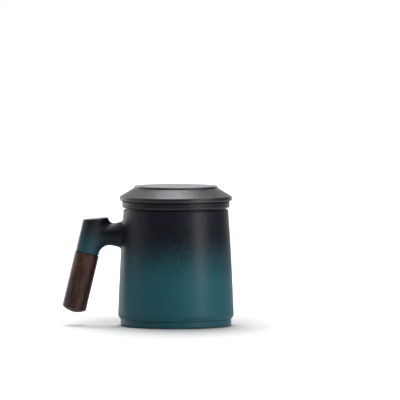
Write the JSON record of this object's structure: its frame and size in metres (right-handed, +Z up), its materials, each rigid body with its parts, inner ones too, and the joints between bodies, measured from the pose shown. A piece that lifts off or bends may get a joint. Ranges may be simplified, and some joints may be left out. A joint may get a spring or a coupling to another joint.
{
  "type": "lidded tea mug with infuser",
  "caption": "Slightly tapered ceramic tea mug with a stepped foot, a side handle with a round wooden grip, a lift-out strainer hung on the rim and a flat-topped conical lid.",
  "frame": {"origin": "centre of the foot ring, in the plane that the mug stands on", "axes": "+Z up along the cup's axis; the handle points to -X; Y is across the handle"},
  "size_m": [0.137, 0.0924, 0.1117],
  "materials": {
    "two_tone_glaze": "satin-matt glaze, near black above fading through fine spray speckle to dark teal below",
    "dark_glaze": "satin-matt near-black glaze with a fine grain",
    "dark_wood": "oiled dark walnut with streaks along the grip",
    "brass": "turned brass",
    "steel": "zinc-plated steel",
    "cured_adhesive": "cured epoxy",
    "dark_rubber": "matt black washer"
  },
  "bodies": {
    "mug": {"mug_body": "two_tone_glaze", "wooden_grip": "dark_wood", "grip_insert": "brass", "grip_stud": "steel", "stud_adhesive": "cured_adhesive", "grip_gasket": "dark_rubber"},
    "infuser": {"infuser_basket": "dark_glaze"},
    "lid": {"lid": "dark_glaze"}
  },
  "joints": [
    {"name": "infuser_lift", "type": "slide", "parent": "mug", "child": "infuser", "axis": [0, 0, 1], "range_m": [0, 0.075]},
    {"name": "lid_lift", "type": "slide", "parent": "infuser", "child": "lid", "axis": [0, 0, 1], "range_m": [0, 0.05]}
  ]
}
